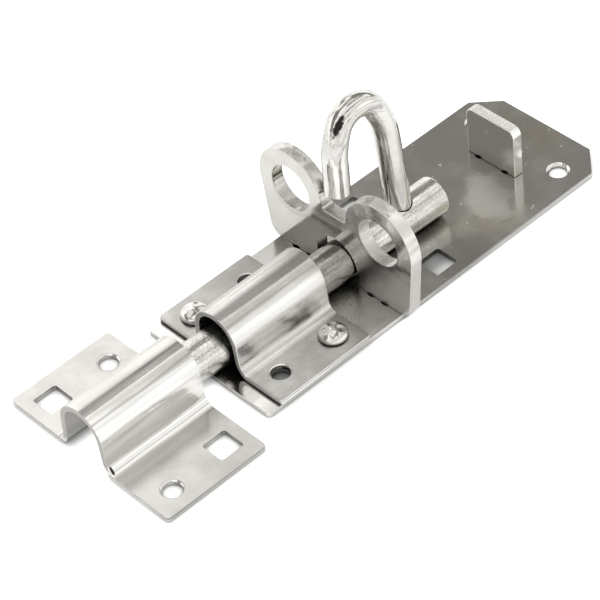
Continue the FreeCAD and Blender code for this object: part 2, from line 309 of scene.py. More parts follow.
# what all the zinc has: soft clouds, drawing lines along the bolt, slow waves and small specks
def makeSurfaceGroup():
    group, given, made = newGroup("zincSurface",
                                  (("Vector", "Vector", (0, 0, 0)), ("Clouds", "Float", 60.0),
                                   ("Lines", "Vector", (25, 1500, 1500)), ("Waves", "Vector", (18, 110, 110)),
                                   ("Specks", "Float", 1400.0)),
                                  ("Cloud", "Line", "Wave", "Speck"))
    cloud = noise(group, given["Vector"], given["Clouds"], 4.0, 0.6)
    plug(group, rise(group, cloud, masks["cloud"]), made["Cloud"])
    plug(group, noise(group, scaled(group, given["Vector"], given["Lines"]), 1.0, 3.0, 0.6), made["Line"])
    plug(group, noise(group, scaled(group, given["Vector"], given["Waves"]), 1.0, 2.0, 0.45), made["Wave"])
    speck = noise(group, given["Vector"], given["Specks"], 2.0, 0.6)
    plug(group, rise(group, speck, masks["speck"]), made["Speck"])
    return group


# dirt and painted shade in the narrow corners, and painted shade deep under the rod and between the ears
def makeDirtAndShadeGroup():
    group, given, made = newGroup("zincDirtAndShade", (("Narrow", "Float", 0.001), ("Wide", "Float", 0.015)),
                                  ("GrimeAndShade", "DeepShade"))
    for reach, mask, span, samples in (("Narrow", "GrimeAndShade", masks["grimeAndShade"], masks["grimeAndShadeSamples"]),
                                       ("Wide", "DeepShade", masks["deep"], masks["deepSamples"])):
        corner = addNode(group, "ShaderNodeAmbientOcclusion", samples=samples)
        plug(group, given[reach], corner.inputs["Distance"])
        plug(group, fall(group, corner.outputs["AO"], span), made[mask])
    return group


# each look: a colour, how deep it goes, and the spans of place, facing or noise over which it comes or goes
sheetLook = {"pale": (0.7, 0.692, 0.668, 1), "deep": (0.655, 0.646, 0.62, 1), "clouds": 45.0,
             "rough": 0.17, "roughSpread": 0.05,
             "speck": (0.5, 0.48, 0.44, 1), "speckDepth": 0.25, "specks": 1400.0,
             "lines": (25, 1500, 1500), "lineColour": (0.66, 0.65, 0.62, 1), "lineDepth": 0.1,
             "lineFrom": (0.3, 0.7), "lineDistance": 0.000006,
             "waves": (14, 120, 120), "waveDistance": 0.0006,
             "grimeAndShade": (0.035, 0.03, 0.025, 1), "grimeAndShadeDepth": 0.8, "grimeAndShadeReach": 0.0009, "grimeRough": 0.2,
             "shade": (0.03, 0.028, 0.024, 1), "shadeDepth": 0.85, "shadeReach": 0.016,
             # the flat flanges, the ends and the sheared walls, with a dark line where the shear broke them;
             # the low outer walls are painted pale, a painted reflection of the floor
             "flatFacing": (0.93, 0.995), "flatness": 1.0,
             "endFacing": (0.6, 0.9), "endRough": 0.25, "endDepth": 0.4,
             "wallFacing": (0.3, 0.7), "wallTop": 0.0049, "wallPale": 0.9,
             "middle": 0.0, "endFrom": 0.0988, "sideFrom": 0.0351,
             "sheet": 0.0024, "edge": (0.12, 0.112, 0.095, 1), "edgeDepth": 0.9, "edgeShift": 0.02,
             "edgeWander": 0.3, "edgeFrom": (0.82, 0.9), "edgeTo": (1.0, 1.1),
             # painted shade and reflection beside the hump, painted shade toward the ears and under a lifted
             # end, rubbed bright on the creases
             "footShade": 0.44, "footFrom": (0.012, 0.017), "footTo": (0.019, 0.031),
             "rearShade": 0.0, "rearShadeTo": (0.045, 0.082), "lifted": (-0.002, -0.001),
             "rubbedAndSheen": (0.97, 0.965, 0.95, 1), "rub": 0.6,
             "creaseFrom": (0.2, 0.45), "creaseTo": (0.88, 0.97), "creaseTop": (0.0048, 0.0056),
             # a painted highlight on the hump's side that faces +y, and soft streaks where the press drew the
             # hump, their light and dark painted as reflections
             "drawnFrom": (0.004, 0.008), "sideFacing": (0.5, 0.85), "sideLight": 0.5,
             "streakAndShade": (0.3, 0.29, 0.265, 1), "streaks": (9, 120, 120),
             "streakLight": 0.65, "lightTo": (0.36, 0.48), "streakDark": 0.46, "darkFrom": (0.52, 0.66)}
saddleLook = dict(sheetLook, pale=(0.74, 0.732, 0.71, 1), deep=(0.64, 0.632, 0.61, 1), rough=0.23,
                  clouds=90.0, streakLight=0.5, footShade=0.0, rearShade=0.47, endDepth=0.5,
                  middle=0.0685, endFrom=0.0242, sideFrom=0.0355, lifted=(0.0031, 0.0037))


def startMetal(name, look):
    material = bpy.data.materials.new(name)
    material.use_nodes = True
    tree = material.node_tree
    shader = tree.nodes["Principled BSDF"]
    shader.inputs["Metallic"].default_value = 1.0
    place = addNode(tree, "ShaderNodeTexCoord").outputs
    dirtAndShade = useGroup(tree, dirtAndShadeGroup, Narrow=look["grimeAndShadeReach"], Wide=look["shadeReach"])
    return material, tree, shader, place, dirtAndShade


def useSurface(tree, vector, look):
    return useGroup(tree, surfaceGroup, Vector=vector, Clouds=look["clouds"], Lines=look["lines"],
                    Waves=look["waves"], Specks=look["specks"])


# dirt and painted shade in the narrow corners
def grimedAndShaded(tree, colour, dirtAndShade, look):
    return mixColour(tree, times(tree, dirtAndShade["GrimeAndShade"], look["grimeAndShadeDepth"]), colour, look["grimeAndShade"])


# painted shade deep under the rod and between the ears
def shaded(tree, colour, dirtAndShade, look):
    return mixColour(tree, times(tree, dirtAndShade["DeepShade"], look["shadeDepth"]), colour, look["shade"])


def cloudRough(tree, surface, look):
    return maths(tree, "MULTIPLY_ADD", surface["Cloud"], look["roughSpread"], look["rough"])


# pressed sheet: saddle, keep and back plate
def makeSheetZinc(name, look):
    material, tree, shader, place, dirtAndShade = startMetal(name, look)
    surface = useSurface(tree, place["Object"], look)
    x, y, z = axes(tree, place["Object"])
    nx, ny, nz = axes(tree, place["Normal"])
    colour = mixColour(tree, surface["Cloud"], look["pale"], look["deep"])
    lines = rise(tree, surface["Line"], look["lineFrom"], look["lineDepth"])
    colour = mixColour(tree, lines, colour, look["lineColour"])
    colour = mixColour(tree, times(tree, surface["Speck"], look["speckDepth"]), colour, look["speck"])
    colour = grimedAndShaded(tree, colour, dirtAndShade, look)

    flat = rise(tree, nz, look["flatFacing"])
    end = rise(tree, positive(tree, nx), look["endFacing"])
    rough = maths(tree, "MULTIPLY_ADD", dirtAndShade["GrimeAndShade"], look["grimeRough"], cloudRough(tree, surface, look))
    plug(tree, maths(tree, "MULTIPLY_ADD", end, look["endRough"], rough), shader.inputs["Roughness"])
    colour = mixColour(tree, times(tree, end, look["endDepth"]), colour, look["edge"])

    # the low outer walls painted pale, a painted reflection of the floor
    wall = times(tree, fall(tree, positive(tree, nz), look["wallFacing"]),
                 maths(tree, "LESS_THAN", z, look["wallTop"]))
    outer = maths(tree, "MAXIMUM",
                  maths(tree, "GREATER_THAN", apart(tree, x, look["middle"]), look["endFrom"]),
                  maths(tree, "GREATER_THAN", positive(tree, y), look["sideFrom"]))
    colour = mixColour(tree, times(tree, wall, outer, look["wallPale"]), colour, look["rubbedAndSheen"])
    level = maths(tree, "FRACT", maths(tree, "MULTIPLY_ADD", z, 1 / look["sheet"], look["edgeShift"]))
    uneven = maths(tree, "MULTIPLY_ADD", surface["Line"], look["edgeWander"], level)
    edge = times(tree, rise(tree, uneven, look["edgeFrom"]), fall(tree, uneven, look["edgeTo"]), wall)
    colour = mixColour(tree, times(tree, edge, look["edgeDepth"]), colour, look["edge"])

    # painted shade and reflection beside the hump, painted shade toward the ears and under a lifted end
    beside = times(tree, fall(tree, y, look["footTo"], look["footShade"]),
                   rise(tree, y, look["footFrom"]), flat)
    colour = mixColour(tree, beside, colour, look["streakAndShade"])
    colour = mixColour(tree, fall(tree, x, look["rearShadeTo"], look["rearShade"]), colour, look["streakAndShade"])
    colour = mixColour(tree, times(tree, end, fall(tree, z, look["lifted"])), colour, look["grimeAndShade"])
    rub = times(tree, rise(tree, nz, look["creaseFrom"]), fall(tree, nz, look["creaseTo"]),
                fall(tree, z, look["creaseTop"], look["rub"]))
    colour = mixColour(tree, rub, colour, look["rubbedAndSheen"])

    # a painted highlight on the hump's side that faces +y, and streaks whose light and dark are painted as
    # reflections
    drawn = times(tree, rise(tree, z, look["drawnFrom"]), maths(tree, "SUBTRACT", 1.0, end))
    lit = times(tree, rise(tree, ny, look["sideFacing"], look["sideLight"]), drawn)
    colour = mixColour(tree, lit, colour, look["rubbedAndSheen"])
    streaks = noise(tree, scaled(tree, place["Object"], look["streaks"]), 1.0, 1.5, 0.45)
    light = times(tree, fall(tree, streaks, look["lightTo"], look["streakLight"]), drawn)
    dark = times(tree, rise(tree, streaks, look["darkFrom"], look["streakDark"]), drawn)
    colour = mixColour(tree, light, colour, look["rubbedAndSheen"])
    plug(tree, mixColour(tree, dark, colour, look["streakAndShade"]), shader.inputs["Base Color"])

    waves = times(tree, surface["Wave"], maths(tree, "MULTIPLY_ADD", flat, -look["flatness"], 1.0))
    normal = bumped(tree, waves, look["waveDistance"])
    plug(tree, bumped(tree, surface["Line"], look["lineDistance"], normal), shader.inputs["Normal"])
    return material, tree, shader, place, surface, dirtAndShade


# the keep has painted shade inside its hump and a small nick at the front crease
keepLook = dict(sheetLook, middle=0.1375, endFrom=0.0249, sideFrom=0.0465,
                inner=0.65, innerFacing=(-0.0015, -0.0003), innerWidth=0.02,
                nick={"place": (0.1621, 0.0138, 0.0042), "turn": (-0.849, 0.0, 0.0),
                      "size": (0.0007, 0.0024, 0.0012), "grain": 900.0, "detail": 2.0, "grit": 0.5,
                      "tear": 0.8, "rim": (1.1, 1.4)})


def makeKeepZinc(name, look):
    material, tree, shader, place = makeSheetZinc(name, look)[:4]
    colour = shader.inputs["Base Color"].links[0].from_socket
    y = axes(tree, place["Object"])["Y"]
    ny = axes(tree, place["Normal"])["Y"]
    # painted shade inside the hump
    inner = times(tree, fall(tree, times(tree, y, ny), look["innerFacing"], look["inner"]),
                  maths(tree, "LESS_THAN", positive(tree, y), look["innerWidth"]))
    colour = mixColour(tree, inner, colour, look["streakAndShade"])
    nick = raggedSpot(tree, place["Object"], look["nick"])
    plug(tree, mixColour(tree, nick, colour, look["grimeAndShade"]), shader.inputs["Base Color"])
    return material


plateLook = dict(sheetLook, pale=(0.6, 0.592, 0.57, 1), deep=(0.55, 0.542, 0.52, 1), rough=0.1,
                 roughSpread=0.06, waves=(30, 50, 50), waveDistance=0.0001, flatness=0.0,
                 lineDistance=0.000004, endRough=0.1, endDepth=0.0, footShade=0.0,
                 # painted paler toward the front, a painted reflection
                 frontSheen=(0.86, 0.852, 0.83, 1), frontSheenFrom=(-0.01, 0.03),
                 stain=(0.62, 0.585, 0.5, 1), stains=26.0, stainFrom=(0.52, 0.7),
                 fleck=(0.84, 0.79, 0.66, 1), flecks=330.0, fleckFrom=(0.69, 0.74), fleckRough=0.2,
                 # hazy in front of the stop and here and there, painted shade behind the right ear beside the
                 # rod
                 haze={"place": (-0.05, 0.013, 0.0023), "turn": (0.0, 0.0, 0.9), "size": (0.02, 0.012, 0.02),
                       "grain": 120.0, "detail": 3.0, "grit": 0.5, "tear": 0.9, "rim": (0.9, 1.5)},
                 hazeRough=0.2, breaths=22.0, breathFrom=(0.42, 0.68), breathRough=0.1,
                 rodShade=0.42, dullFrom=(-0.034, -0.014), dullTo=(0.014, 0.03), dullAcross=(0.003, 0.013),
                 # less of a mirror, and painted shade beside the rod, between the saddle and the ears
                 soft=0.15, softFrom=(0.022, 0.026), softTo=(0.046, 0.052), softAcross=(0.0, 0.006),
                 cornerDepth=0.5, cornerTo=(0.009, 0.021),
                 # slots of the ears and of the stop: middle and half length, then the same across
                 slots=((0.0226, 0.0044, 0.0225, 0.0085), (-0.0679, 0.004, 0.0, 0.0125)),
                 slotFacing=(0.4, 0.8))


# the back plate is stained, flecked and hazy in places, painted paler toward the front as a painted
# reflection, and painted shade inside its slots
def makePlateZinc(name, look):
    material, tree, shader, place, surface, dirtAndShade = makeSheetZinc(name, look)
    colour = shader.inputs["Base Color"].links[0].from_socket
    rough = shader.inputs["Roughness"].links[0].from_socket
    x, y = axes(tree, place["Object"])[:2]
    nz = axes(tree, place["Normal"])["Z"]
    # painted paler toward the front, a painted reflection
    colour = mixColour(tree, rise(tree, x, look["frontSheenFrom"]), colour, look["frontSheen"])
    stains = noise(tree, place["Object"], look["stains"], 4.0, 0.6)
    colour = mixColour(tree, rise(tree, stains, look["stainFrom"]), colour, look["stain"])
    flecks = noise(tree, place["Object"], look["flecks"])
    flecks = times(tree, rise(tree, flecks, look["fleckFrom"]), surface["Cloud"])
    colour = mixColour(tree, flecks, colour, look["fleck"])
    rough = maths(tree, "MULTIPLY_ADD", flecks, look["fleckRough"], rough)
    rough = maths(tree, "ADD", rough, raggedSpot(tree, place["Object"], look["haze"], look["hazeRough"]))
    breath = noise(tree, place["Object"], look["breaths"], 5.0, 0.68)
    rough = maths(tree, "ADD", rough, rise(tree, breath, look["breathFrom"], look["breathRough"]))
    # painted shade beside the rod, behind the right ear
    rodShade = times(tree, rise(tree, x, look["dullFrom"]), fall(tree, x, look["dullTo"], look["rodShade"]),
                 rise(tree, y, look["dullAcross"]))
    colour = mixColour(tree, rodShade, colour, look["streakAndShade"])
    soft = times(tree, rise(tree, x, look["softFrom"]), fall(tree, x, look["softTo"]),
                 rise(tree, y, look["softAcross"]))
    plug(tree, maths(tree, "MULTIPLY_ADD", soft, look["soft"], rough), shader.inputs["Roughness"])
    # painted shade beside the rod, between the saddle and the ears
    corner = times(tree, soft, fall(tree, y, look["cornerTo"], look["cornerDepth"]))
    colour = mixColour(tree, corner, colour, look["streakAndShade"])

    # painted shade inside the slots
    inside = 0.0
    for middle, halfAlong, across, halfAcross in look["slots"]:
        slot = times(tree, maths(tree, "LESS_THAN", apart(tree, x, middle), halfAlong),
                     maths(tree, "LESS_THAN", apart(tree, positive(tree, y), across), halfAcross))
        inside = maths(tree, "MAXIMUM", slot, inside)
    inside = times(tree, inside, fall(tree, positive(tree, nz), look["slotFacing"]))
    colour = mixColour(tree, inside, colour, look["edge"])
    plug(tree, shaded(tree, colour, dirtAndShade, look), shader.inputs["Base Color"])
    return material


cutLook = dict(sheetLook, rough=0.08, roughSpread=0.06, clouds=110.0, waves=(60, 60, 60),
               waveDistance=0.00012, lines=(400, 400, 400),
               # torn where it was sheared, in patches
               tear=(0.3, 0.29, 0.26, 1), tearScale=1300.0, tearFrom=(0.41, 0.56), tearDepth=0.55,
               tearDistance=0.0003, tearRough=0.2, patchScale=170.0, patchFrom=(0.42, 0.57),
               shearFacing=(0.55, 0.9), shearSide=(0.35, 0.75), sideTorn=0.1,
               # the right ear's sheared rim painted pale, a painted reflection of the floor
               rimPale=0.75, rimFrom=(0.024, 0.034), topRough=0.22, topFacing=(0.3, 0.8),
               # darker round the eyes (across, height, radius), painted shade at the left foot and in the
               # corner by the rod
               eye=(0.0254, 0.033, 0.0116), eyeDarken=0.25,
               earFootShade=0.25, footHeight=(0.008, 0.036), footSide=(-0.004, 0.004),
               cornerDepth=0.6, cornerFrom=(0.0, 0.006), cornerTo=(0.01, 0.022), cornerHeight=(0.012, 0.02),
               # mottled and scuffed on the face of the right ear, worn at its foot
               mottleScale=330.0, mottleFrom=(0.47, 0.62), mottleSide=(0.0, 0.008),
               mottleHeight=(0.02, 0.034), mottleRough=0.13,
               scuffFrom=(0.002, 0.01), scuffTo=(0.019, 0.031), scuffHeight=(0.028, 0.037), scuffRough=0.24,
               lowSide=(0.008, 0.014), lowHeight=(0.02, 0.03), lowRough=0.24)
# the stop's zinc is the cut zinc painted paler, painted light
stopLook = dict(cutLook, pale=(0.95, 0.942, 0.915, 1), deep=(0.88, 0.872, 0.845, 1), topRough=0.26,
                patchFrom=(0.05, 0.1), tearDepth=0.4, tearFrom=(0.44, 0.6), earFootShade=0.0, lowRough=0.0,
                cornerDepth=0.0, eyeDarken=0.0)


# cut plate: smooth rolled faces, torn and speckled along its sheared edges, the right ear's sheared rim
# painted pale as a painted reflection
def makeCutZinc(name, look):
    material, tree, shader, place, dirtAndShade = startMetal(name, look)
    surface = useSurface(tree, place["Object"], look)
    y, z = axes(tree, place["Object"])[1:]
    nx, ny, nz = axes(tree, place["Normal"])
    sheared = times(tree, fall(tree, positive(tree, nx), look["shearFacing"]),
                    fall(tree, ny, look["shearSide"], 1.0, look["sideTorn"]))
    patches = noise(tree, place["Object"], look["patchScale"])
    patches = times(tree, sheared, rise(tree, patches, look["patchFrom"]))
    torn = times(tree, noise(tree, place["Object"], look["tearScale"], 3.0, 0.65), patches)
    colour = mixColour(tree, surface["Cloud"], look["pale"], look["deep"])
    # the right ear's sheared rim painted pale, a painted reflection
    rim = times(tree, sheared, rise(tree, y, look["rimFrom"], look["rimPale"]))
    colour = mixColour(tree, rim, colour, look["rubbedAndSheen"])

    across, height, radius = look["eye"]
    eyeY = maths(tree, "SUBTRACT", positive(tree, y), across)
    eyeZ = maths(tree, "SUBTRACT", z, height)
    eye = maths(tree, "ADD", times(tree, eyeY, eyeY), times(tree, eyeZ, eyeZ))
    eye = times(tree, maths(tree, "LESS_THAN", eye, radius ** 2), look["eyeDarken"])
    # painted shade at the left ear's foot and in the corner by the rod
    foot = times(tree, fall(tree, z, look["footHeight"], look["earFootShade"]), fall(tree, y, look["footSide"]))
    corner = times(tree, rise(tree, y, look["cornerFrom"]),
                   fall(tree, y, look["cornerTo"], look["cornerDepth"]), fall(tree, z, look["cornerHeight"]))
    for mask in (eye, foot, corner):
        colour = mixColour(tree, mask, colour, look["streakAndShade"])
    colour = mixColour(tree, rise(tree, torn, look["tearFrom"], look["tearDepth"]), colour, look["tear"])
    colour = grimedAndShaded(tree, colour, dirtAndShade, look)
    plug(tree, shaded(tree, colour, dirtAndShade, look), shader.inputs["Base Color"])

    mottle = noise(tree, place["Object"], look["mottleScale"], 4.0, 0.62)
    mottle = times(tree, rise(tree, mottle, look["mottleFrom"]), rise(tree, y, look["mottleSide"]),
                   rise(tree, z, look["mottleHeight"]))
    scuff = times(tree, rise(tree, y, look["scuffFrom"]), fall(tree, y, look["scuffTo"]),
                  rise(tree, z, look["scuffHeight"]))
    low = times(tree, rise(tree, y, look["lowSide"]), fall(tree, z, look["lowHeight"]))
    rough = cloudRough(tree, surface, look)
    for mask, amount in ((patches, "tearRough"), (rise(tree, nz, look["topFacing"]), "topRough"),
                         (mottle, "mottleRough"), (scuff, "scuffRough"), (low, "lowRough")):
        rough = maths(tree, "MULTIPLY_ADD", mask, look[amount], rough)
    plug(tree, rough, shader.inputs["Roughness"])
    normal = bumped(tree, surface["Wave"], look["waveDistance"])
    plug(tree, bumped(tree, torn, look["tearDistance"], normal), shader.inputs["Normal"])
    return material


rodLook = dict(sheetLook, pale=(0.74, 0.732, 0.708, 1), deep=(0.62, 0.61, 0.585, 1), rough=0.14,
               roughSpread=0.08, clouds=160.0, waves=(20, 150, 150), waveDistance=0.00003,
               lines=(60, 700, 700), shadeDepth=0.65,
               scales=1300.0, scaleSoftness=0.35, scaleDistance=0.000035, fine=1900.0, calm=0.4,
               pit=(0.16, 0.15, 0.135, 1), pitDepth=0.85, pitFrom=(0.58, 0.72),
               grain=(0.36, 0.35, 0.325, 1), grains=1450.0, grainDepth=0.45, grainFrom=(0.5, 0.62),
               # worn dark between the saddle and the ears
               worn=(0.2, 0.19, 0.17, 1), wornDepth=0.6, wornFrom=(0.004, 0.02), wornTo=(0.042, 0.05),
               wornGrain=(0.3, 0.6), wornLeast=0.6)


# bar under thick plating: fine scaly pits over the whole rod
def makeRodZinc(name, look):
    material, tree, shader, place, dirtAndShade = startMetal(name, look)
    surface = useSurface(tree, place["Object"], look)
    x = axes(tree, place["Object"])["X"]
    scales = addNode(tree, "ShaderNodeTexVoronoi", feature="SMOOTH_F1")
    scales.inputs["Scale"].default_value = look["scales"]
    scales.inputs["Smoothness"].default_value = look["scaleSoftness"]
    plug(tree, place["Object"], scales.inputs["Vector"])
    fine = noise(tree, place["Object"], look["fine"], 3.0, 0.65)
    strength = rise(tree, surface["Cloud"], (0.0, 1.0), 1.0, look["calm"])
    colour = mixColour(tree, surface["Cloud"], look["pale"], look["deep"])
    pits = times(tree, rise(tree, fine, look["pitFrom"], look["pitDepth"]), strength)
    colour = mixColour(tree, pits, colour, look["pit"])
    grain = noise(tree, place["Object"], look["grains"], 2.0, 0.6)
    colour = mixColour(tree, rise(tree, grain, look["grainFrom"], look["grainDepth"]), colour, look["grain"])
    worn = times(tree, rise(tree, x, look["wornFrom"]), fall(tree, x, look["wornTo"], look["wornDepth"]),
                 rise(tree, fine, look["wornGrain"], 1.0, look["wornLeast"]))
    colour = mixColour(tree, worn, colour, look["worn"])
    colour = grimedAndShaded(tree, colour, dirtAndShade, look)
    plug(tree, shaded(tree, colour, dirtAndShade, look), shader.inputs["Base Color"])
    plug(tree, cloudRough(tree, surface, look), shader.inputs["Roughness"])
    height = times(tree, maths(tree, "ADD", scales.outputs["Distance"], fine), strength)
    normal = bumped(tree, surface["Wave"], look["waveDistance"])
    plug(tree, bumped(tree, height, look["scaleDistance"], normal), shader.inputs["Normal"])
    return material


hookLook = dict(sheetLook, pale=(0.72, 0.712, 0.69, 1), deep=(0.66, 0.652, 0.63, 1), rough=0.07,
                roughSpread=0.05, clouds=150.0, waves=(45, 260, 260), waveDistance=0.00028,
                lines=(120, 800, 800), lineFrom=(0.52, 0.72), lineDistance=0.00004, lineDepth=0.3,
                lineColour=(0.55, 0.54, 0.5, 1),
                # the crown's centre, the hook's lean and skew, and the radius of the bend
                bendCentre=(0.0049, -0.0029, 0.0533), bendTurn=(0.11, 0.0, -0.0227), bendRadius=0.014,
                # one dark spot on the shoulder of the free leg
                darkMark=(0.03, 0.028, 0.024, 1), darkMarkRough=0.3,
                darkSpot={"place": (0.0164, -0.0021, 0.0751), "turn": (0.0, -0.7, 0.0),
                      "size": (0.0017, 0.0017, 0.0062), "grain": 700.0, "detail": 3.0, "grit": 0.6,
                      "tear": 1.2, "rim": (1.25, 1.6)},
                # thin broken streaks run from it over the crown, and more at the free leg's low end
                threads=(90, 1000, 1000), threadGrain=(0.56, 0.66), threadFrom=(0.006, 0.012),
                threadTo=(0.026, 0.032), threadOut=(0.0155, 0.018), threadDepth=0.75,
                fleckGrain=(0.46, 0.54), fleckTo=(-0.0205, -0.012), fleckDepth=0.65,
                legTo=(0.002, 0.012), legLight=0.4)


# the hook's bar is smoother and brighter, streaked along its length
def makeHookZinc(name, look):
    material, tree, shader, place, dirtAndShade = startMetal(name, look)
    # along the bar and across it: upright on the legs, round the crown's centre above them
    turned = addNode(tree, "ShaderNodeMapping", vector_type="TEXTURE")
    turned.inputs["Location"].default_value = look["bendCentre"]
    turned.inputs["Rotation"].default_value = look["bendTurn"]
    plug(tree, place["Object"], turned.inputs["Vector"])
    x, y, z = axes(tree, turned.outputs[0])
    above = maths(tree, "MAXIMUM", z, 0.0)
    radius = maths(tree, "SQRT", maths(tree, "ADD", times(tree, x, x), times(tree, above, above)))
    bend = times(tree, maths(tree, "ARCTAN2", above, x), look["bendRadius"])
    along = maths(tree, "ADD", bend, maths(tree, "MINIMUM", z, 0.0))
    barPlace = addNode(tree, "ShaderNodeCombineXYZ")
    for index, value in enumerate((along, radius, y)):
        plug(tree, value, barPlace.inputs[index])
    surface = useSurface(tree, barPlace.outputs[0], look)
    colour = mixColour(tree, surface["Cloud"], look["pale"], look["deep"])
    lines = rise(tree, surface["Line"], look["lineFrom"], look["lineDepth"])
    colour = mixColour(tree, lines, colour, look["lineColour"])
    colour = mixColour(tree, fall(tree, along, look["legTo"], look["legLight"]), colour, look["rubbedAndSheen"])

    darkSpot = raggedSpot(tree, place["Object"], look["darkSpot"])
    threads = noise(tree, scaled(tree, barPlace.outputs[0], look["threads"]), 1.0, 3.0, 0.6)
    flecks = times(tree, rise(tree, threads, look["fleckGrain"], look["fleckDepth"]),
                   fall(tree, along, look["fleckTo"]))
    threads = times(tree, rise(tree, threads, look["threadGrain"]), rise(tree, along, look["threadFrom"]),
                    fall(tree, along, look["threadTo"]),
                    rise(tree, radius, look["threadOut"], look["threadDepth"]))
    darkMark = maths(tree, "MAXIMUM", maths(tree, "MAXIMUM", darkSpot, threads), flecks)
    colour = grimedAndShaded(tree, mixColour(tree, darkMark, colour, look["darkMark"]), dirtAndShade, look)
    plug(tree, colour, shader.inputs["Base Color"])
    plug(tree, maths(tree, "MULTIPLY_ADD", darkMark, look["darkMarkRough"], cloudRough(tree, surface, look)),
         shader.inputs["Roughness"])
    normal = bumped(tree, surface["Wave"], look["waveDistance"])
    plug(tree, bumped(tree, surface["Line"], look["lineDistance"], normal), shader.inputs["Normal"])
    return material


rivetLook = dict(sheetLook, pale=(0.74, 0.732, 0.71, 1), deep=(0.6, 0.59, 0.568, 1), rough=0.13, clouds=300.0,
                 waves=(300, 300, 300), waveDistance=0.00006, flatness=0.0, lines=(900, 900, 900),
                 lineDistance=0.00002, footShade=0.0, rub=0.0, edgeDepth=0.0, wallPale=0.0,
                 streakLight=0.0, streakDark=0.0, headFootShade=(0.0052, 0.0059))


# painted shade round the foot of each rivet head
def makeRivetZinc(name, look):
    material, tree, shader, place = makeSheetZinc(name, look)[:4]
    colour = shader.inputs["Base Color"].links[0].from_socket
    # painted shade round the foot of the head
    headFootShade = fall(tree, axes(tree, place["Object"])["Z"], look["headFootShade"])
    plug(tree, mixColour(tree, headFootShade, colour, look["grimeAndShade"]), shader.inputs["Base Color"])
    return material


# the colour of the painted shadow round the hook's foot
gapShadowLook = {"dark": (0.006, 0.005, 0.004, 1), "dusty": (0.02, 0.018, 0.015, 1), "dust": 1500.0,
           "dustFrom": (0.4, 0.6), "rough": 0.85, "gloss": 0.1}


def makeGapShadow(name, look):
    material = bpy.data.materials.new(name)
    material.use_nodes = True
    tree = material.node_tree
    shader = tree.nodes["Principled BSDF"]
    dust = noise(tree, addNode(tree, "ShaderNodeTexCoord").outputs["Object"], look["dust"], 3.0)
    plug(tree, mixColour(tree, rise(tree, dust, look["dustFrom"]), look["dark"], look["dusty"]),
         shader.inputs["Base Color"])
    shader.inputs["Roughness"].default_value = look["rough"]
    shader.inputs["Specular IOR Level"].default_value = look["gloss"]
    return material


# the corners and edges of each pressed or cut piece are rounded, its holes stay as punched
edges = {"plate": 0.0006, "strap": 0.0006, "cut": 0.0004, "rod": 0.0005, "hook": 0.0003, "rim": 0.0003,
         "merge": 1e-6, "flat": 0.6, "sharp": 28, "smooth": 30, "weight": 60,
         "holes": {"back_plate": ((-0.0811, -0.0241), (-0.0811, 0.0241), (0.0548, -0.0245), (0.0822, 0.0245),
                                  (0.054, 0.0255), (0.083, -0.0255), (0.0226, -0.0162), (0.0226, -0.0282),
                                  (0.0226, 0.0162), (0.0226, 0.0282), (-0.0679, -0.0078), (-0.0679, 0.0078)),
                   "saddle": ((0.0548, -0.0245), (0.0822, 0.0245), (0.054, 0.0255), (0.083, -0.0255)),
                   "keep": ((0.1232, -0.0342), (0.1518, 0.037))},
         "holeReach": 0.0062, "rimAbove": 0.002}


def selectOnly(piece):
    bpy.ops.object.select_all(action="DESELECT")
    piece.select_set(True)
    bpy.context.view_layer.objects.active = piece


# selects the sharp edges, either those by the holes' upper rims or all that are not by a hole
def selectSharp(piece, holes, rims):
    shape = bmesh.from_edit_mesh(piece.data)
    for edge in shape.edges:
        chosen = len(edge.link_faces) == 2 and edge.calc_face_angle() > math.radians(edges["sharp"])
        if chosen and holes:
            first, second = (vertex.co for vertex in edge.verts)
            middle = (first + second) / 2
            level = abs(first.z - second.z) < edges["merge"] and middle.z > edges["rimAbove"]
            near = min(math.hypot(middle.x - x, middle.y - y) for x, y in holes)
            chosen = near < edges["holeReach"] and level if rims else near >= edges["holeReach"]
        edge.select = chosen
    shape.select_flush_mode()
    bmesh.update_edit_mesh(piece.data)


def softenedCopy(name, width):
    piece = bpy.data.objects.new(name + "Finished", nodes[name].data.copy())
    bpy.context.collection.objects.link(piece)
    selectOnly(piece)
    holes = edges["holes"].get(name, ())
    bpy.ops.object.mode_set(mode="EDIT")
    bpy.ops.mesh.select_mode(type="EDGE")
    bpy.ops.mesh.select_all(action="SELECT")
    bpy.ops.mesh.remove_doubles(threshold=edges["merge"])
    bpy.ops.mesh.dissolve_limited(angle_limit=math.radians(edges["flat"]))
    selectSharp(piece, holes, False)
    bpy.ops.mesh.bevel(offset=width, segments=3, profile=0.5, affect="EDGES", clamp_overlap=True,
                       miter_outer="ARC")
    if holes:
        selectSharp(piece, holes, True)
        bpy.ops.mesh.bevel(offset=edges["rim"], segments=2, profile=0.5, affect="EDGES", clamp_overlap=True)
    bpy.ops.object.mode_set(mode="OBJECT")
    smoothed(piece, edges["smooth"])
    return piece


def smoothed(piece, angle):
    selectOnly(piece)
    bpy.ops.object.shade_smooth_by_angle(angle=math.radians(angle))
    normals = piece.modifiers.new("normals", "WEIGHTED_NORMAL")
    normals.keep_sharp = True
    normals.weight = edges["weight"]
    bpy.ops.object.modifier_apply(modifier="normals")


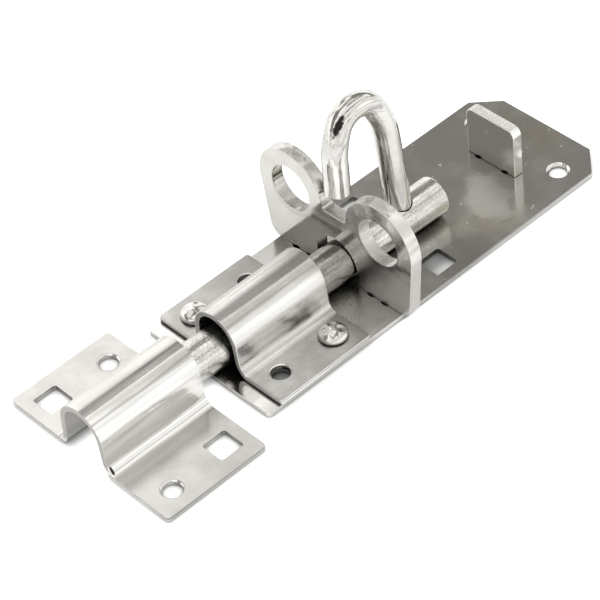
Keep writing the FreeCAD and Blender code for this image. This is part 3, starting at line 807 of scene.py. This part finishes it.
# rivet heads: a pan crushed by four blows of the punch
rivet = {"places": ((0.054, 0.0255, 0.93), (0.083, -0.0255, 0.55)), "turns": 96, "smooth": 50,
         "profile": ((0.0027, 0.0), (0.003, 0.0003), (0.003, 0.0048), (0.0058, 0.0048),
                     (0.0061, 0.0049), (0.00625, 0.0051), (0.0063, 0.0054), (0.0063, 0.0058),
                     (0.00623, 0.0062), (0.0061, 0.0066), (0.0059, 0.00695), (0.0056, 0.0073),
                     (0.0053, 0.0076), (0.005, 0.00783),
                     (0.0047, 0.00802), (0.0044, 0.00818), (0.0041, 0.00832), (0.0038, 0.00844),
                     (0.0035, 0.00854), (0.0032, 0.00863), (0.0029, 0.00871), (0.0026, 0.00878),
                     (0.0023, 0.00884), (0.002, 0.00888), (0.0017, 0.00892), (0.0013, 0.00895),
                     (0.0009, 0.00898), (0.0004, 0.009)),
         "dentFrom": 0.0061, "dentRadius": 0.0034, "dentWidth": 0.0016, "dentPower": 3.2,
         "dentDepths": (0.0008, 0.00065, 0.00085, 0.0007)}


def makeRivetHead():
    bpy.ops.object.select_all(action="DESELECT")
    radius, z = rivet["profile"][0]
    bpy.ops.mesh.primitive_circle_add(vertices=rivet["turns"], radius=radius, fill_type="NGON")
    head = bpy.context.object
    bpy.ops.object.mode_set(mode="EDIT")
    bpy.ops.mesh.select_all(action="SELECT")
    for nextRadius, nextZ in rivet["profile"][1:]:
        bpy.ops.mesh.extrude_region_move(TRANSFORM_OT_translate={"value": (0, 0, nextZ - z)})
        grow = nextRadius / radius
        bpy.ops.transform.resize(value=(grow, grow, 1), center_override=(0, 0, nextZ))
        radius, z = nextRadius, nextZ
    bpy.ops.mesh.select_all(action="SELECT")
    bpy.ops.mesh.normals_make_consistent(inside=False)
    bpy.ops.object.mode_set(mode="OBJECT")
    for vertex in head.data.vertices:
        if vertex.co.z > rivet["dentFrom"]:
            for blow, depth in enumerate(rivet["dentDepths"]):
                angle = blow * math.pi / 2
                reach = math.hypot(vertex.co.x - rivet["dentRadius"] * math.cos(angle),
                                   vertex.co.y - rivet["dentRadius"] * math.sin(angle))
                vertex.co.z -= depth * math.exp(-(reach / rivet["dentWidth"]) ** rivet["dentPower"])
    return head


# one head is modelled, and each place gets a turned copy of it
def makeRivets():
    head = makeRivetHead()
    copies = []
    for x, y, turn in rivet["places"]:
        copied = bpy.data.objects.new("rivet", head.data.copy())
        copied.data.transform(Matrix.Translation((x, y, 0)) @ Matrix.Rotation(turn, 4, "Z"))
        bpy.context.collection.objects.link(copied)
        copies.append(copied)
    bpy.data.objects.remove(head)
    bpy.ops.object.select_all(action="DESELECT")
    for copied in copies:
        copied.select_set(True)
    bpy.context.view_layer.objects.active = copies[0]
    bpy.ops.object.join()
    piece = bpy.context.object
    piece.name = "saddleRivetsFinished"
    smoothed(piece, rivet["smooth"])
    return piece


# a painted shadow in the gap round the hook's foot: a dark ring that lies on the rod
foot = {"centre": (-0.0092, 0.0, 0.0113), "rodRadius": 0.0088, "ringRadius": 0.00565, "thickness": 0.00021,
        "lean": math.radians(6.3), "pivot": (0.08, 0.0, 0.0), "skew": math.radians(-1.3),
        "turns": 96, "sides": 8}


def makeFootShadowRing():
    bpy.ops.object.select_all(action="DESELECT")
    bpy.ops.mesh.primitive_torus_add(major_radius=foot["ringRadius"], minor_radius=foot["thickness"],
                                     major_segments=foot["turns"], minor_segments=foot["sides"])
    ring = bpy.context.object
    ring.name = "hookFootShadow"
    # the flat ring is bent down over the round rod, then leaned and turned with the hook
    for vertex in ring.data.vertices:
        vertex.co.z += math.sqrt(foot["rodRadius"] ** 2 - vertex.co.y ** 2)
    centre, pivot = Vector(foot["centre"]), Vector(foot["pivot"])
    ring.data.transform(Matrix.Translation(pivot) @ Matrix.Rotation(foot["skew"], 4, "Z")
                        @ Matrix.Translation(centre - pivot) @ Matrix.Rotation(foot["lean"], 4, "X"))
    selectOnly(ring)
    bpy.ops.object.shade_smooth()
    return ring


def finishPiece(piece, node, body, material):
    piece.data.materials.clear()
    piece.data.materials.append(material)
    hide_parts(node)
    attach(piece, body)


bpy.context.scene.view_settings.view_transform = "Standard"
makeCamera()
makeWalls()
makeFloor()
print("camera and studio set")

surfaceGroup = makeSurfaceGroup()
dirtAndShadeGroup = makeDirtAndShadeGroup()
keepZinc = makeKeepZinc("zincSheet", keepLook)
saddleZinc = makeSheetZinc("zincSaddle", saddleLook)[0]
plateZinc = makePlateZinc("zincBackPlate", plateLook)
cutZinc = makeCutZinc("zincCutPlate", cutLook)
stopZinc = makeCutZinc("zincStop", stopLook)
rodZinc = makeRodZinc("zincRod", rodLook)
hookZinc = makeHookZinc("zincHook", hookLook)
rivetZinc = makeRivetZinc("zincRivet", rivetLook)
gapShadowMaterial = makeGapShadow("gapShadow", gapShadowLook)
print("materials made")

for name, body, slot, material, width in (("back_plate", "base", "zinc_sheet", plateZinc, edges["plate"]),
                                          ("end_stop", "base", "zinc_cut_plate", stopZinc, edges["cut"]),
                                          ("ears_plate", "base", "zinc_cut_plate", cutZinc, edges["cut"]),
                                          ("bolt_rod", "bolt", "zinc_bar", rodZinc, edges["rod"]),
                                          ("padlock_hook", "hook", "zinc_bar", hookZinc, edges["hook"]),
                                          ("saddle", "base", "zinc_sheet", saddleZinc, edges["strap"]),
                                          ("keep", "base", "zinc_sheet", keepZinc, edges["strap"])):
    finishPiece(softenedCopy(name, width), name, body, material)
    print(name, "finished")

finishPiece(makeRivets(), "saddle_rivets", "base", rivetZinc)
ring = makeFootShadowRing()
ring.data.materials.append(gapShadowMaterial)
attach(ring, "hook")
print("rivets and foot ring finished")
